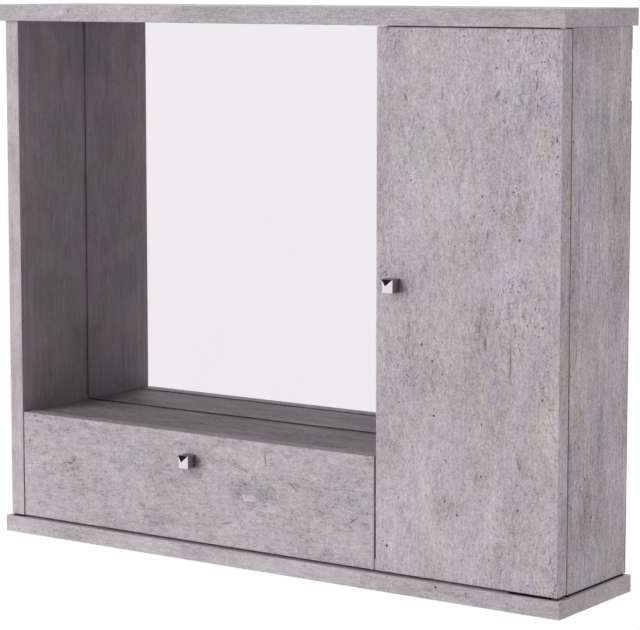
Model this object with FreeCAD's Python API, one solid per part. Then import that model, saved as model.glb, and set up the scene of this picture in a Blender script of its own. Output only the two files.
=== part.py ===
import FreeCAD, Part
import os

# Wall-hung bathroom mirror cabinet built from boards. Millimetres, +Z up, the front faces -Y.
# The origin lies on the wall plane, midway between the two wall hanger holes.

# Carcass boards
board = 16.0             # thickness of every carcass board
board_width = 642.0      # top and bottom boards, side to side
board_depth = 131.0      # top and bottom boards, wall to front edge
clear_height = 498.0     # between the top and bottom boards
side_overhang = 4.5      # boards past the uprights at each side
front_overhang = 4.0     # boards past the door and the flap
back_overhang = 4.0      # boards past the back edges of the uprights
hanger_drop = 60.0       # hanger holes below the upper side of the top board
niche_width = 425.5      # between the left upright and the partition
niche_floor = 106.5      # upper side of the niche shelf above the bottom board
edge_round = 0.8         # radius of the edge banding's rounded edges
groove_depth = 2.0       # shadow groove at the foot of the outer uprights

# Door and flap
front_board = 16.0       # thickness of the door and the flap
front_gap = 1.5          # behind the closed door and flap
reveal = 2.0             # below the door and the flap
top_reveal = 1.0         # above the door
flap_side_gap = 1.2      # flap to the left upright
flap_rise = 0.6          # flap's upper edge above the niche shelf
door_side_gap = 0.6      # door to the partition's niche face, seen from the front

# Mirror
glass = 5.0              # thickness of the mirror glass
glass_margin = 1.0       # mirror glass to the boards around it
tape = 1.5               # thickness of the adhesive strips
tape_width = 20.0
tape_end_gap = 30.0      # strips stop this far from the glass edge
tape_inset = 40.0        # outer strips in from the glass edge

# Back panel and its nails
back_sheet = 3.0
sheet_margin = 1.0       # back panel inside the outline of the uprights
nail_r = 0.7
nail_length = 16.0
nail_head_r = 2.0
nail_head = 0.7
nail_end_gap = 40.0      # nails of an upright from its lower end, the niche shelf and the hanger
shelf_nail_shares = (0.25, 0.5, 0.75)

# Wall hangers
hanger_hook_in = 31.5    # keyhole in from the outer face of the upright
hanger_hole_r = 5.0
hanger_slot_r = 2.75
hanger_slot_rise = 10.0
hanger_width = 42.0
hanger_height = 44.0
hanger_inset = 2.0       # hanger plate in from the outer face of the upright
hanger_screw_offset = 13.0
notch_margin = 1.0       # cut-out of the back panel around the hanger plate
head_pocket_r = 8.0      # room for the wall screw's head behind the plate
head_pocket = 8.0

# Carcass fasteners
dowel_r = 4.0
dowel_length = 30.0
dowel_in_face = 10.0     # dowel depth in the face of a board
peg_gap = 0.1            # clearance around dowels, screws and nails
hole_spare = 1.0         # holes deeper than their dowels and screws
edge_distance = 28.0     # fasteners from the front and back edges
backing_dowel_drop = 110.0  # upper dowels of the mirror's backing board below the top board
screw_r = 3.4
screw_length = 46.0
screw_head_r = 4.8
screw_head = 3.0
cap_r = 6.5
cap = 1.2
cap_sink = 0.3           # cover caps below the board's face

# Shelves of the tall compartment
shelf_side_gap = 0.7
shelf_setback = 8.0      # shelf front behind the front edges of the uprights
shelf_back_gap = 0.5
lower_shelf = 150.0      # underside of the lower shelf above the bottom board
upper_shelf = 324.0      # underside of the upper shelf above the bottom board
pin_r = 2.5
pin_depth = 8.0
spoon = 8.0              # length and width of the flat part of a shelf pin
spoon_height = 5.0
pin_edge = 20.0          # shelf pins from the shelf's front and back edges

# Knobs
knob_size = 12.3
knob_depth = 12.0
knob_point = 3.0         # height of the four-sided point
door_knob_height = 266.0  # above the bottom board
flap_knob_drop = 9.7     # below the underside of the niche shelf
knob_screw_r = 2.0
knob_screw_in_knob = 8.0
knob_head_r = 3.5
knob_head_gap = 0.6      # head of the door's knob screw to the partition
knob_head = 2.4

# Door pivot hinges, let into the boards and the door's ends
door_axis_in = 4.0       # pivot axis from the door's hinge edge
door_axis_back = 6.0     # pivot axis behind the door's front face
leaf = 2.5               # thickness of the leaves
leaf_length = 52.0
leaf_width = 12.0
leaf_end = 4.5           # leaf past the pivot axis
leaf_margin = 1.0        # socket leaf inside the faces of the door
leaf_screw_shares = (0.16, 0.58)
door_pin_r = 2.5
door_pin_in_door = 8.0
pivot_fit = 0.05         # radial running clearance of the pivots
bore_spare = 0.3         # pin bores in the boards wider than the pins
washer_r = 3.8
washer_gap = 0.1

# Flap pivots
flap_axis_back = 4.0     # pivot axis behind the flap's front face
flap_axis_up = 4.5       # pivot axis above the flap's lower edge
flap_pin_r = 2.0
flap_pin_in_flap = 7.0
flap_leaf = 2.0
flap_leaf_length = 40.0
flap_leaf_width = 8.0
flap_leaf_end = 3.0      # leaf past the pivot axis
flap_screw_shares = (0.45, 0.85)
bracket = 0.8            # thickness of the pivot bracket on the partition
bracket_gap = 0.3        # bracket to the flap
bracket_reach = 34.0     # bracket behind the partition's front edge
bracket_height = 10.0
bracket_screw_shares = (0.18, 0.5)

# Small countersunk and pan-head screws
small_r = 1.6
small_length = 12.0
small_head_r = 3.0
small_head = 1.4

# Magnetic catches
catch_length = 46.0
catch_height = 13.0
catch_depth = 14.0
catch_screw_bite = 6.0   # depth of the catch screws in the board
strike = 1.4
strike_length = 40.0
strike_width = 12.0
strike_edge = 0.5        # strike plate in from the board that carries the catch
catch_gap = 0.3          # magnet to strike plate
door_catch_drop = 60.0   # top of the door's catch below the top board
flap_catch_side = 110.0  # flap's catch to the right of its middle

# Door and flap bumpers
bumper_r = 4.0
bumper = 1.2
bumper_edge = 30.0       # bumpers from the ends of the edge that carries them

# Levels and planes worked out from the sizes above
top_up = hanger_drop
top_under = top_up - board
floor_up = top_under - clear_height
floor_under = floor_up - board
body_half = board_width / 2 - side_overhang
inner_half = body_half - board
front_face = front_overhang - board_depth
front_back = front_face + front_board
edge_face = front_back + front_gap
back_face = -back_overhang
niche_left = -inner_half
niche_right = niche_left + niche_width
locker_left = niche_right + board
shelf_up = floor_up + niche_floor
shelf_under = shelf_up - board
door_left = niche_right + door_side_gap
door_right = body_half
door_low = floor_up + reveal
door_high = top_under - top_reveal
flap_left = niche_left + flap_side_gap
flap_right = niche_right - bracket - bracket_gap
flap_middle = (flap_left + flap_right) / 2
carrier_front = back_face - board
glass_back = carrier_front - tape
glass_front = glass_back - glass
door_axis_x = door_right - door_axis_in
door_axis_y = front_face + door_axis_back
flap_axis_y = front_face + flap_axis_back
flap_axis_z = door_low + flap_axis_up

right = (1, 0, 0)
left = (-1, 0, 0)
back = (0, 1, 0)
front = (0, -1, 0)
up = (0, 0, 1)
down = (0, 0, -1)


def block(x0, x1, y0, y1, z0, z1):
    corner = FreeCAD.Vector(min(x0, x1), min(y0, y1), min(z0, z1))
    return Part.makeBox(abs(x1 - x0), abs(y1 - y0), abs(z1 - z0), corner)


# A board with all its edges rounded, or only the long ones of its front edge
def rounded_board(*limits):
    solid = block(*limits)
    return solid.makeFillet(edge_round, solid.Edges)


def front_edged_board(*limits):
    solid = block(*limits)
    box = solid.BoundBox
    longest = max(box.XLength, box.ZLength)
    chosen = [edge for edge in solid.Edges
              if edge.BoundBox.YMax < box.YMin + edge_round and edge.Length > longest - edge_round]
    return solid.makeFillet(edge_round, chosen)


def rod(radius, start, way, length):
    return Part.makeCylinder(radius, length, FreeCAD.Vector(*start), FreeCAD.Vector(*way))


def shifted(point, way, distance):
    return tuple(p + w * distance for p, w in zip(point, way))


def save(name, *solids):
    shape = solids[0] if len(solids) == 1 else Part.makeCompound(list(solids))
    shape.exportStep("parts/" + name + ".step")


def opposite(way):
    return tuple(-w for w in way)


# A dowel from the face of one board into the end of another, with its hole
def dowel(seat, way):
    start = shifted(seat, way, -dowel_in_face)
    hole_start = shifted(start, way, -hole_spare)
    hole = rod(dowel_r + peg_gap, hole_start, way, dowel_length + 2 * hole_spare)
    return rod(dowel_r, start, way, dowel_length), hole


# A carcass screw driven through a board from its outer face, with its cover cap and hole
def carcass_screw(face, way):
    cap_start = shifted(face, way, cap_sink)
    head_start = shifted(cap_start, way, cap)
    shank_start = shifted(head_start, way, screw_head)
    head = rod(screw_head_r, head_start, way, screw_head)
    screw = head.fuse(rod(screw_r, shank_start, way, screw_length))
    cover = rod(cap_r, cap_start, way, cap)
    hole = rod(cap_r + peg_gap, face, way, cap_sink + cap)
    hole = hole.fuse(rod(screw_head_r + peg_gap, head_start, way, screw_head))
    hole = hole.fuse(rod(screw_r + peg_gap, shank_start, way, screw_length + hole_spare))
    return screw, cover, hole


# A small screw whose head is flush with a face, or stands on it where proud is True, with its hole
def small_screw(face, way, proud=False, length=small_length):
    under_head = face if proud else shifted(face, way, small_head)
    head = rod(small_head_r, shifted(under_head, way, -small_head), way, small_head)
    screw = head.fuse(rod(small_r, under_head, way, length))
    hole = rod(small_r + peg_gap, under_head, way, length + hole_spare)
    if not proud:
        hole = hole.fuse(rod(small_head_r + peg_gap, face, way, small_head))
    return screw, hole


# Shadow groove round the foot of an outer upright, in line with the gap under the door and the flap
def shadow_groove(outer, inner, edge):
    into = groove_depth if inner > outer else -groove_depth
    face_cut = block(outer, outer + into, edge, back_face, floor_up, door_low)
    edge_cut = block(outer, inner, edge, edge + groove_depth, floor_up, door_low)
    return [face_cut, edge_cut]


def nail(face, way):
    head = rod(nail_head_r, shifted(face, way, -nail_head), way, nail_head)
    hole = rod(nail_r + peg_gap, face, way, nail_length + hole_spare)
    return head.fuse(rod(nail_r, face, way, nail_length)), hole


os.makedirs("parts", exist_ok=True)

# Uprights: outer and inner x, front edge
uprights = {
    "left_side": (-body_half, -inner_half, front_face),
    "partition": (niche_right, locker_left, edge_face),
    "right_side": (inner_half, body_half, edge_face),
}

# Dowels and carcass screws that hold the uprights between the boards
dowels, dowel_holes = [], []
screws, caps, screw_holes = [], [], []
for x0, x1, edge in uprights.values():
    middle = (x0 + x1) / 2
    for level, outer, way in ((top_under, top_up, down), (floor_up, floor_under, up)):
        peg, hole = dowel((middle, (edge + back_face) / 2, level), way)
        dowels.append(peg)
        dowel_holes.append(hole)
        for y in (edge + edge_distance, back_face - edge_distance):
            screw, cover, hole = carcass_screw((middle, y, outer), way)
            screws.append(screw)
            caps.append(cover)
            screw_holes.append(hole)

# Dowels that hold the niche shelf and the mirror's backing board between the left side and the partition
shelf_middle = shelf_up - board / 2
carrier_middle = carrier_front + board / 2
shelf_pegs = [(y, shelf_middle) for y in (edge_face + edge_distance, back_face - 2 * edge_distance)]
carrier_pegs = [(carrier_middle, z) for z in (shelf_up + edge_distance, top_under - backing_dowel_drop)]
for y, z in shelf_pegs + carrier_pegs:
    for x, way in ((niche_left, right), (niche_right, left)):
        peg, hole = dowel((x, y, z), way)
        dowels.append(peg)
        dowel_holes.append(hole)

# Nails through the back panel into the uprights and the niche shelf
nails, nail_holes = [], []
nail_face = back_face + back_sheet
nail_levels = [floor_up + nail_end_gap, shelf_up + nail_end_gap, -hanger_height - nail_end_gap]
nail_places = [((x0 + x1) / 2, z) for x0, x1, edge in uprights.values() for z in nail_levels]
nail_places += [(niche_left + niche_width * share, shelf_middle) for share in shelf_nail_shares]
for x, z in nail_places:
    piece, hole = nail((x, nail_face, z), front)
    nails.append(piece)
    nail_holes.append(hole)

# Wall hangers: plates with keyholes on the back edges of the outer uprights
hangers, hanger_screws, hanger_holes, sheet_notches, head_pockets = [], [], [], [], []
for side in (-1, 1):
    outer = side * (body_half - hanger_inset)
    inner = outer - side * hanger_width
    hook = side * (body_half - hanger_hook_in)
    half = hanger_height / 2
    plate = block(outer, inner, back_face, 0, -half, half)
    keyhole = rod(hanger_hole_r, (hook, back_face, 0), back, back_overhang)
    slot = block(hook - hanger_slot_r, hook + hanger_slot_r, back_face, 0, 0, hanger_slot_rise)
    slot = slot.fuse(rod(hanger_slot_r, (hook, back_face, hanger_slot_rise), back, back_overhang))
    plate = plate.cut([keyhole, slot])
    for z in (-hanger_screw_offset, hanger_screw_offset):
        screw, hole = small_screw((side * (body_half - board / 2), 0, z), front)
        plate = plate.cut(hole)
        hanger_screws.append(screw)
        hanger_holes.append(hole)
    hangers.append(plate)
    notch_half = half + notch_margin
    notch = block(inner - side * notch_margin, side * body_half, back_face, 0, -notch_half, notch_half)
    sheet_notches.append(notch)
    pocket = rod(head_pocket_r, (hook, back_face, 0), front, head_pocket)
    pocket_top = rod(head_pocket_r, (hook, back_face, hanger_slot_rise), front, head_pocket)
    head_pockets += [pocket, pocket_top]

# Door pivot hinges: a pin leaf in each board and a socket leaf in each end of the door
pin_leaves, socket_leaves, leaf_screws, socket_screws = [], [], [], []
board_leaf_cuts, door_leaf_cuts = [], []
leaf_x0 = door_axis_x + leaf_end - leaf_length
leaf_x1 = door_axis_x + leaf_end
leaf_y0 = door_axis_y - leaf_width / 2
leaf_y1 = door_axis_y + leaf_width / 2
socket_x1 = door_right - leaf_margin
socket_y0 = leaf_y0 + leaf_margin
socket_y1 = leaf_y1 - leaf_margin
leaf_screw_x = [leaf_x0 + leaf_length * share for share in leaf_screw_shares]
for level, door_end, way in ((floor_up, door_low, up), (top_under, door_high, down)):
    sunk = level - way[2] * leaf
    pin_length = leaf + abs(door_end - level) + door_pin_in_door
    pin = rod(door_pin_r, (door_axis_x, door_axis_y, sunk), way, pin_length)
    recess = block(leaf_x0, leaf_x1, leaf_y0, leaf_y1, level, sunk)
    socket_face = door_end + way[2] * leaf
    socket = block(leaf_x0, socket_x1, socket_y0, socket_y1, door_end, socket_face)
    door_leaf_cuts.append(socket)
    bore_length = door_pin_in_door + hole_spare
    bore = rod(door_pin_r + bore_spare, (door_axis_x, door_axis_y, door_end), way, bore_length)
    door_leaf_cuts.append(bore)
    plate = recess
    board_leaf_cuts.append(recess)
    socket = socket.cut(rod(door_pin_r + pivot_fit, (door_axis_x, door_axis_y, door_end), way, leaf))
    for x in leaf_screw_x:
        screw, hole = small_screw((x, door_axis_y, level), opposite(way))
        plate = plate.cut(hole)
        leaf_screws.append(screw)
        board_leaf_cuts.append(hole)
        screw, hole = small_screw((x, door_axis_y, door_end), way)
        socket = socket.cut(hole)
        socket_screws.append(screw)
        door_leaf_cuts.append(hole)
    pin_leaves.append(plate.fuse(pin).removeSplitter())
    socket_leaves.append(socket)
washer_height = reveal - washer_gap
washer = rod(washer_r, (door_axis_x, door_axis_y, floor_up), up, washer_height)
washer = washer.cut(rod(door_pin_r + peg_gap, (door_axis_x, door_axis_y, floor_up), up, washer_height))

# Flap pivots: a pin leaf in the left side, a bracket on the partition, a socket leaf in each end of the flap
flap_leaf_y0 = flap_axis_y - flap_leaf_end
flap_leaf_z0 = flap_axis_z - flap_leaf_end
half_leaf = flap_leaf_width / 2
left_recess = block(niche_left - flap_leaf, niche_left, flap_leaf_y0, flap_leaf_y0 + flap_leaf_length,
                    flap_axis_z - half_leaf, flap_axis_z + half_leaf)
left_pin_length = flap_leaf + flap_side_gap + flap_pin_in_flap
left_pin = rod(flap_pin_r, (niche_left - flap_leaf, flap_axis_y, flap_axis_z), right, left_pin_length)
left_leaf = left_recess
left_leaf_screws, left_leaf_cuts = [], [left_recess]
for share in flap_screw_shares:
    face = (niche_left, flap_leaf_y0 + flap_leaf_length * share, flap_axis_z)
    screw, hole = small_screw(face, left)
    left_leaf = left_leaf.cut(hole)
    left_leaf_screws.append(screw)
    left_leaf_cuts.append(hole)
left_leaf = left_leaf.fuse(left_pin).removeSplitter()

bracket_low = flap_axis_z - half_leaf
bracket_end = edge_face + bracket_reach
bracket_plate = block(niche_right - bracket, niche_right, flap_leaf_y0, bracket_end,
                      bracket_low, bracket_low + bracket_height)
bracket_pin_length = bracket + bracket_gap + flap_pin_in_flap
bracket_pin = rod(flap_pin_r, (niche_right, flap_axis_y, flap_axis_z), left, bracket_pin_length)
bracket_screws, bracket_cuts = [], []
for share in bracket_screw_shares:
    face = (niche_right - bracket, edge_face + bracket_reach * share, bracket_low + bracket_height / 2)
    screw, hole = small_screw(face, right, proud=True)
    bracket_plate = bracket_plate.cut(hole)
    bracket_screws.append(screw)
    bracket_cuts.append(hole)
bracket_plate = bracket_plate.fuse(bracket_pin).removeSplitter()

flap_sockets, flap_socket_screws, flap_cuts = [], [], []
for end, way in ((flap_left, right), (flap_right, left)):
    sunk = end + way[0] * flap_leaf
    socket = block(end, sunk, flap_leaf_y0, flap_leaf_y0 + flap_leaf_width,
                   flap_leaf_z0, flap_leaf_z0 + flap_leaf_length)
    flap_cuts.append(socket)
    bore_length = flap_pin_in_flap + hole_spare
    flap_cuts.append(rod(flap_pin_r + bore_spare, (end, flap_axis_y, flap_axis_z), way, bore_length))
    socket = socket.cut(rod(flap_pin_r + pivot_fit, (end, flap_axis_y, flap_axis_z), way, flap_leaf))
    for share in flap_screw_shares:
        face = (end, flap_leaf_y0 + half_leaf, flap_leaf_z0 + flap_leaf_length * share)
        screw, hole = small_screw(face, way)
        socket = socket.cut(hole)
        flap_socket_screws.append(screw)
        flap_cuts.append(hole)
    flap_sockets.append(socket)

# Shelf pins: a round peg in the upright and a flat spoon under the shelf
shelf_front = edge_face + shelf_setback
shelf_back = back_face - shelf_back_gap
shelf_pins, pin_holes = [], []
for height in (lower_shelf, upper_shelf):
    under = floor_up + height
    for y in (shelf_front + pin_edge, shelf_back - pin_edge):
        for x, way in ((locker_left, left), (inner_half, right)):
            peg_z = under - spoon_height / 2
            peg = rod(pin_r - peg_gap, (x, y, peg_z), way, pin_depth)
            flat = block(x, x - way[0] * spoon, y - spoon / 2, y + spoon / 2, under - spoon_height, under)
            shelf_pins.append(peg.fuse(flat).removeSplitter())
            pin_holes.append(rod(pin_r, (x, y, peg_z), way, pin_depth + hole_spare))

# Magnetic catches and the strike plates that meet them
strike_face = front_back + strike
catch_front = strike_face + catch_gap
catch_back = catch_front + catch_depth
door_catch_top = top_under - door_catch_drop
door_catch_low = door_catch_top - catch_length
door_catch = block(locker_left, locker_left + catch_height, catch_front, catch_back,
                   door_catch_low, door_catch_top)
door_catch_middle = (door_catch_low + door_catch_top) / 2
door_strike_x = locker_left + strike_edge
door_strike = block(door_strike_x, door_strike_x + strike_width, front_back, strike_face,
                    door_catch_middle - strike_length / 2, door_catch_middle + strike_length / 2)
door_strike_screw, door_strike_hole = small_screw(
    (door_strike_x + strike_width / 2, strike_face, door_catch_middle), front)
door_strike = door_strike.cut(door_strike_hole)
flap_catch_x = flap_middle + flap_catch_side
flap_catch = block(flap_catch_x - catch_length / 2, flap_catch_x + catch_length / 2,
                   catch_front, catch_back, shelf_under - catch_height, shelf_under)
flap_strike_top = shelf_under - strike_edge
flap_strike = block(flap_catch_x - strike_length / 2, flap_catch_x + strike_length / 2,
                    front_back, strike_face, flap_strike_top - strike_width, flap_strike_top)
flap_strike_screw, flap_strike_hole = small_screw(
    (flap_catch_x, strike_face, flap_strike_top - strike_width / 2), front)
flap_strike = flap_strike.cut(flap_strike_hole)
catch_screws, door_catch_holes, flap_catch_holes = [], [], []
catch_screw_length = catch_height - small_head + catch_screw_bite
catch_middle = (catch_front + catch_back) / 2
for offset in (-catch_length / 3, catch_length / 3):
    door_seat = (locker_left + catch_height, catch_middle, door_catch_middle + offset)
    screw, hole = small_screw(door_seat, left, length=catch_screw_length)
    catch_screws.append(screw)
    door_catch_holes.append(hole)
    flap_seat = (flap_catch_x + offset, catch_middle, shelf_under - catch_height)
    screw, hole = small_screw(flap_seat, up, length=catch_screw_length)
    catch_screws.append(screw)
    flap_catch_holes.append(hole)
door_catch = door_catch.cut(door_catch_holes)
flap_catch = flap_catch.cut(flap_catch_holes)


# A square knob with a flat four-sided point, on the front face, held by a screw from behind
def knob(x, z):
    half = knob_size / 2
    rim = front_face - knob_depth
    body = block(x - half, x + half, rim, front_face, z - half, z + half)
    corners = [(-half, -half), (half, -half), (half, half), (-half, half)]
    ring = [FreeCAD.Vector(x + a, rim, z + b) for a, b in corners]
    tip = FreeCAD.Vector(x, rim - knob_point, z)
    faces = [Part.Face(Part.makePolygon(ring + [ring[0]]))]
    for first, second in zip(ring, ring[1:] + ring[:1]):
        faces.append(Part.Face(Part.makePolygon([first, second, tip, first])))
    point = Part.Solid(Part.Shell(faces))
    if point.Volume < 0:
        point.reverse()
    body = body.fuse(point).removeSplitter()
    thread = rod(knob_screw_r + peg_gap, (x, front_face, z), front, knob_screw_in_knob + hole_spare)
    return body.cut(thread)


def knob_screw(x, z):
    head = rod(knob_head_r, (x, front_back, z), back, knob_head)
    shank = rod(knob_screw_r, (x, front_back, z), front, front_board + knob_screw_in_knob)
    return head.fuse(shank)


def knob_hole(x, z):
    return rod(knob_screw_r + peg_gap, (x, front_back, z), front, front_board)


door_knob_place = (locker_left + knob_head_gap + knob_head_r, floor_up + door_knob_height)
flap_knob_place = (flap_middle, shelf_under - flap_knob_drop)

# Boards
board_half = board_width / 2
for name, low, high in (("top_panel", top_under, top_up), ("bottom_panel", floor_under, floor_up)):
    wide_board = rounded_board(-board_half, board_half, -board_depth, 0, low, high)
    save(name, wide_board.cut(dowel_holes + screw_holes + board_leaf_cuts))
upright_cuts = dowel_holes + screw_holes + nail_holes + hanger_holes
own_cuts = {
    "left_side": left_leaf_cuts + shadow_groove(-body_half, -inner_half, front_face),
    "partition": bracket_cuts + pin_holes + door_catch_holes,
    "right_side": pin_holes + shadow_groove(body_half, inner_half, edge_face),
}
for name, (x0, x1, edge) in uprights.items():
    upright = front_edged_board(x0, x1, edge, back_face, floor_up, top_under)
    save(name, upright.cut(upright_cuts + own_cuts[name]))
shelf_board = front_edged_board(niche_left, niche_right, edge_face, back_face, shelf_under, shelf_up)
save("niche_shelf", shelf_board.cut(dowel_holes + nail_holes + flap_catch_holes))
carrier_board = block(niche_left, niche_right, carrier_front, back_face, shelf_up, top_under)
save("mirror_backing_board", carrier_board.cut(dowel_holes + head_pockets))
sheet = block(sheet_margin - body_half, body_half - sheet_margin, back_face, nail_face,
              floor_up + sheet_margin, top_under - sheet_margin)
save("back_panel", sheet.cut(sheet_notches + nail_holes))
for name, height in (("lower_shelf", lower_shelf), ("upper_shelf", upper_shelf)):
    under = floor_up + height
    save(name, front_edged_board(locker_left + shelf_side_gap, inner_half - shelf_side_gap,
                                 shelf_front, shelf_back, under, under + board))

# Mirror glass and the strips that hold it on its backing board
glass_x0 = niche_left + glass_margin
glass_x1 = niche_right - glass_margin
glass_z0 = shelf_up + glass_margin
glass_z1 = top_under - glass_margin
save("mirror_glass", block(glass_x0, glass_x1, glass_front, glass_back, glass_z0, glass_z1))
strip_middles = [glass_x0 + tape_inset, (glass_x0 + glass_x1) / 2, glass_x1 - tape_inset]
strips = [block(x - tape_width / 2, x + tape_width / 2, glass_back, carrier_front,
                glass_z0 + tape_end_gap, glass_z1 - tape_end_gap) for x in strip_middles]
save("mirror_tape", *strips)

# Door and flap
door_board = rounded_board(door_left, door_right, front_face, front_back, door_low, door_high)
save("door_panel", door_board.cut(door_leaf_cuts + [knob_hole(*door_knob_place), door_strike_hole]))
flap_board = rounded_board(flap_left, flap_right, front_face, front_back,
                           door_low, shelf_up + flap_rise)
save("flap_panel", flap_board.cut(flap_cuts + [knob_hole(*flap_knob_place), flap_strike_hole]))
for name, place in (("door", door_knob_place), ("flap", flap_knob_place)):
    save(name + "_knob", knob(*place))
    save(name + "_knob_screw", knob_screw(*place))

# Fittings
save("wood_dowels", *dowels)
save("carcass_screws", *screws)
save("screw_caps", *caps)
save("back_panel_nails", *nails)
save("wall_hangers", *hangers)
save("wall_hanger_screws", *hanger_screws)
save("shelf_pins", *shelf_pins)
save("door_hinge_pin_leaves", *pin_leaves)
save("door_hinge_pin_screws", *leaf_screws)
save("door_hinge_washer", washer)
save("door_hinge_socket_leaves", *socket_leaves)
save("door_hinge_socket_screws", *socket_screws)
save("flap_hinge_pin_leaf", left_leaf)
save("flap_hinge_pin_screws", *left_leaf_screws)
save("flap_pivot_bracket", bracket_plate)
save("flap_pivot_bracket_screws", *bracket_screws)
save("flap_hinge_socket_leaves", *flap_sockets)
save("flap_hinge_socket_screws", *flap_socket_screws)
save("door_catch", door_catch)
save("flap_catch", flap_catch)
save("catch_screws", *catch_screws)
save("door_strike_plate", door_strike)
save("door_strike_screw", door_strike_screw)
save("flap_strike_plate", flap_strike)
save("flap_strike_screw", flap_strike_screw)
partition_middle = (niche_right + locker_left) / 2
door_bumper_places = [(partition_middle, z) for z in (floor_up + bumper_edge, top_under - bumper_edge)]
flap_bumper_places = [(x, shelf_middle) for x in (flap_left + bumper_edge, flap_right - bumper_edge)]
for name, places in (("door_bumpers", door_bumper_places), ("flap_bumpers", flap_bumper_places)):
    save(name, *[rod(bumper_r, (x, edge_face, z), front, bumper) for x, z in places])
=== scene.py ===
import math
import bmesh
import bpy
from mathutils import Matrix, Vector


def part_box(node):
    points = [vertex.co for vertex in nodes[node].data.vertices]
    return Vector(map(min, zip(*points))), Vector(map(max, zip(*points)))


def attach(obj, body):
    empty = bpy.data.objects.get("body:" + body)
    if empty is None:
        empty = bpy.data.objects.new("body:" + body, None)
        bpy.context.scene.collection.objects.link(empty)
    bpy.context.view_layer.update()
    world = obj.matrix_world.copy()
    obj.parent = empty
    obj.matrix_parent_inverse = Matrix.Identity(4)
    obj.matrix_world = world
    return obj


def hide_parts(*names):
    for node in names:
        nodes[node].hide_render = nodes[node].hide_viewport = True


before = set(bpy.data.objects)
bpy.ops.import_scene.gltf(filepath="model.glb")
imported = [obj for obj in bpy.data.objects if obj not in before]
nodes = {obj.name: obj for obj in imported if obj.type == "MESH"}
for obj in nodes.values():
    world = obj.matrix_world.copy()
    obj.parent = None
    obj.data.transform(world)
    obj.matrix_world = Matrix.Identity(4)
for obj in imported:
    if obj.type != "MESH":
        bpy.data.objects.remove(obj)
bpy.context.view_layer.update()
mm = 0.001
cabinetMiddle = Vector((0, -0.07, -0.2))
front = Vector((0, -1, 0))
up = Vector((0, 0, 1))
faceOn = 0.7          # a surface faces an axis past this share of its normal
flatOn = 0.99         # and faces it squarely past this one
noiseMean = 0.5
print("cabinet loaded:", len(nodes), "nodes")


# One shader socket; sums on it add Math nodes, node() adds any other node
class Wire:
    def __init__(self, tree, socket=None):
        self.tree = tree
        self.socket = socket

    def node(self, kind, settings=None, sockets=None, out=0):
        made = self.tree.nodes.new(kind)
        for key, value in (settings or {}).items():
            setattr(made, key, value)
        for key, value in (sockets or {}).items():
            if isinstance(value, Wire):
                self.tree.links.new(value.socket, made.inputs[key])
            else:
                made.inputs[key].default_value = value
        return Wire(self.tree, made.outputs[out])

    def math(self, operation, first, second=0.0):
        return self.node("ShaderNodeMath", {"operation": operation}, {0: first, 1: second})

    def __add__(self, other):
        return self.math("ADD", self, other)

    def __sub__(self, other):
        return self.math("SUBTRACT", self, other)

    def __rsub__(self, other):
        return self.math("SUBTRACT", other, self)

    def __mul__(self, other):
        return self.math("MULTIPLY", self, other)

    def __truediv__(self, other):
        return self.math("DIVIDE", self, other)

    def __pow__(self, other):
        return self.math("POWER", self, other)

    def __gt__(self, other):
        return self.math("GREATER_THAN", self, other)

    __radd__ = __add__
    __rmul__ = __mul__

    def size(self):
        return self.math("ABSOLUTE", self)

    def larger(self, other):
        return self.math("MAXIMUM", self, other)

    def axis(self, name):
        return self.node("ShaderNodeSeparateXYZ", {}, {"Vector": self}, out=name)

    # How far a noise swings from its mean, times an amount
    def swing(self, amount):
        return (self - noiseMean) * amount

    # 0 below start and 1 above end, soft between; start may be the larger
    def ease(self, start, end):
        settings = {"interpolation_type": "SMOOTHSTEP"}
        if start > end:
            return 1 - self.ease(end, start)
        return self.node("ShaderNodeMapRange", settings, {0: self, 1: start, 2: end})

    # This value as the factor between two colours
    def tint(self, low, high):
        settings = {"data_type": "RGBA", "blend_type": "MIX"}
        return self.node("ShaderNodeMix", settings, {0: self, 6: low, 7: high}, out=2)

    # Place on the piece, or the way that its surface faces
    def onPiece(self, what="Object"):
        return self.node("ShaderNodeTexCoord", out=what)

    # This place moved, turned in degrees and stretched
    def placed(self, shift=(0, 0, 0), turn=(0, 0, 0), scale=(1, 1, 1)):
        turned = tuple(math.radians(angle) for angle in turn)
        sockets = {"Vector": self, "Location": shift, "Rotation": turned, "Scale": scale}
        return self.node("ShaderNodeMapping", {}, sockets)

    # A noise at this place
    def noise(self, scale, detail, roughness=0.5, distortion=0.0):
        sockets = {"Vector": self, "Scale": scale, "Detail": detail}
        sockets.update({"Roughness": roughness, "Distortion": distortion})
        return self.node("ShaderNodeTexNoise", {}, sockets)

    # Distance from this place to the middle of its cell
    def cells(self, scale):
        return self.node("ShaderNodeTexVoronoi", {}, {"Vector": self, "Scale": scale}, out="Distance")

    # This place pushed about by a noise, by up to the given reach on each axis
    def pushed(self, scale, reach):
        push = self.node("ShaderNodeTexNoise", {}, {"Vector": self, "Scale": scale}, out="Color")
        return self.node("ShaderNodeVectorMath", {"operation": "MULTIPLY_ADD"}, {0: push, 1: reach, 2: self})

    def feed(self, shader, socket):
        self.tree.links.new(self.socket, shader.inputs[socket])


def rgb(red, green, blue):
    return (red, green, blue, 1.0)


# A new material with its fixed shader values; gives the material, a bare wire and the shader
def newFinish(name, fixed):
    finish = bpy.data.materials.new(name)
    finish.use_nodes = True
    shader = finish.node_tree.nodes["Principled BSDF"]
    for socket, value in fixed.items():
        shader.inputs[socket].default_value = value
    return finish, Wire(finish.node_tree), shader


def bumpInto(shader, height, distance, strength):
    sockets = {"Strength": strength, "Distance": distance, "Height": height}
    height.node("ShaderNodeBump", {}, sockets, out="Normal").feed(shader, "Normal")


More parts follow.
